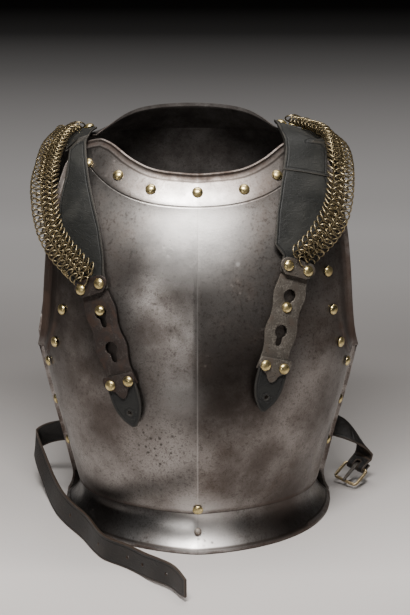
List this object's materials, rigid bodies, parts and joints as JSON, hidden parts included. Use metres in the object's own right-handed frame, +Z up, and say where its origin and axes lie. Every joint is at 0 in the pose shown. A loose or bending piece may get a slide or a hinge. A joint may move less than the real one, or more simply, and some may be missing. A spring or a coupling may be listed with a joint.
{
  "type": "cuirass",
  "caption": "Steel breastplate with riveted waist flange and backplate, joined by leather shoulder straps under brass chain with keyhole plates, and an open waist belt.",
  "frame": {"origin": "bottom centre of the bounding box of the whole piece, on the ground", "axes": "+Z up, -Y the way the wearer faces, +X to the wearer's left"},
  "size_m": [0.4148, 0.4172, 0.4588],
  "materials": {
    "plate_steel": "polished, mottled with a thin brown patina and small pits",
    "small_rivet_steel": "worn",
    "rivet_brass": "domed and worn bright",
    "chain_brass": "wire, tarnished in the hollows",
    "dark_iron": "dark brown, pitted",
    "strap_leather": "black-green, creased",
    "belt_leather": "black grain, brown flesh side",
    "buckle_brass": "dark tarnish",
    "buckle_iron": "dark"
  },
  "bodies": {
    "cuirass": {"arm_rivet_left_1": "rivet_brass", "arm_rivet_left_2": "rivet_brass", "arm_rivet_left_3": "rivet_brass", "arm_rivet_left_4": "rivet_brass", "arm_rivet_right_1": "rivet_brass", "arm_rivet_right_2": "rivet_brass", "arm_rivet_right_3": "rivet_brass", "arm_rivet_right_4": "rivet_brass", "backplate": "plate_steel", "breastplate": "plate_steel", "flange_rivet": "small_rivet_steel", "flank_rivet_left_1": "rivet_brass", "flank_rivet_left_2": "rivet_brass", "flank_rivet_right_1": "rivet_brass", "flank_rivet_right_2": "rivet_brass", "left_belt_rivet": "small_rivet_steel", "left_cap_rivet_1": "rivet_brass", "left_cap_rivet_2": "rivet_brass", "left_chain_band": "chain_brass", "left_clip": "dark_iron", "left_clip_rivet_1": "rivet_brass", "left_clip_rivet_2": "rivet_brass", "left_end_cap": "dark_iron", "left_keyhole_plate": "dark_iron", "left_pull_tab": "strap_leather", "left_shoulder_leather": "strap_leather", "left_shoulder_rivet_1": "rivet_brass", "left_shoulder_rivet_2": "rivet_brass", "left_shoulder_rivet_3": "rivet_brass", "left_shoulder_rivet_4": "rivet_brass", "left_stud": "rivet_brass", "long_belt": "belt_leather", "neck_rivet_left_1": "rivet_brass", "neck_rivet_left_2": "rivet_brass", "neck_rivet_left_3": "rivet_brass", "neck_rivet_middle": "rivet_brass", "neck_rivet_right_1": "rivet_brass", "neck_rivet_right_2": "rivet_brass", "neck_rivet_right_3": "rivet_brass", "right_belt_rivet": "small_rivet_steel", "right_cap_rivet_1": "rivet_brass", "right_cap_rivet_2": "rivet_brass", "right_chain_band": "chain_brass", "right_clip": "dark_iron", "right_clip_rivet_1": "rivet_brass", "right_clip_rivet_2": "rivet_brass", "right_end_cap": "dark_iron", "right_keyhole_plate": "dark_iron", "right_pull_tab": "strap_leather", "right_shoulder_leather": "strap_leather", "right_shoulder_rivet_1": "rivet_brass", "right_shoulder_rivet_2": "rivet_brass", "right_shoulder_rivet_3": "rivet_brass", "right_stud": "rivet_brass", "short_belt": "belt_leather", "waist_flange": "plate_steel", "waist_rivet": "rivet_brass"},
    "buckle": {"buckle_frame": "buckle_brass"},
    "tongue": {"buckle_tongue": "buckle_iron"}
  },
  "joints": [
    {"name": "buckle_hinge", "type": "hinge", "parent": "cuirass", "child": "buckle", "pos_m": [0.18749, 0.09944, 0.0201], "axis": [0.7712, -0.6192, -0.148], "range_deg": [-50, 0]},
    {"name": "tongue_hinge", "type": "hinge", "parent": "buckle", "child": "tongue", "pos_m": [0.18749, 0.09944, 0.0201], "axis": [0.7712, -0.6192, -0.148], "range_deg": [-40, 0]}
  ]
}
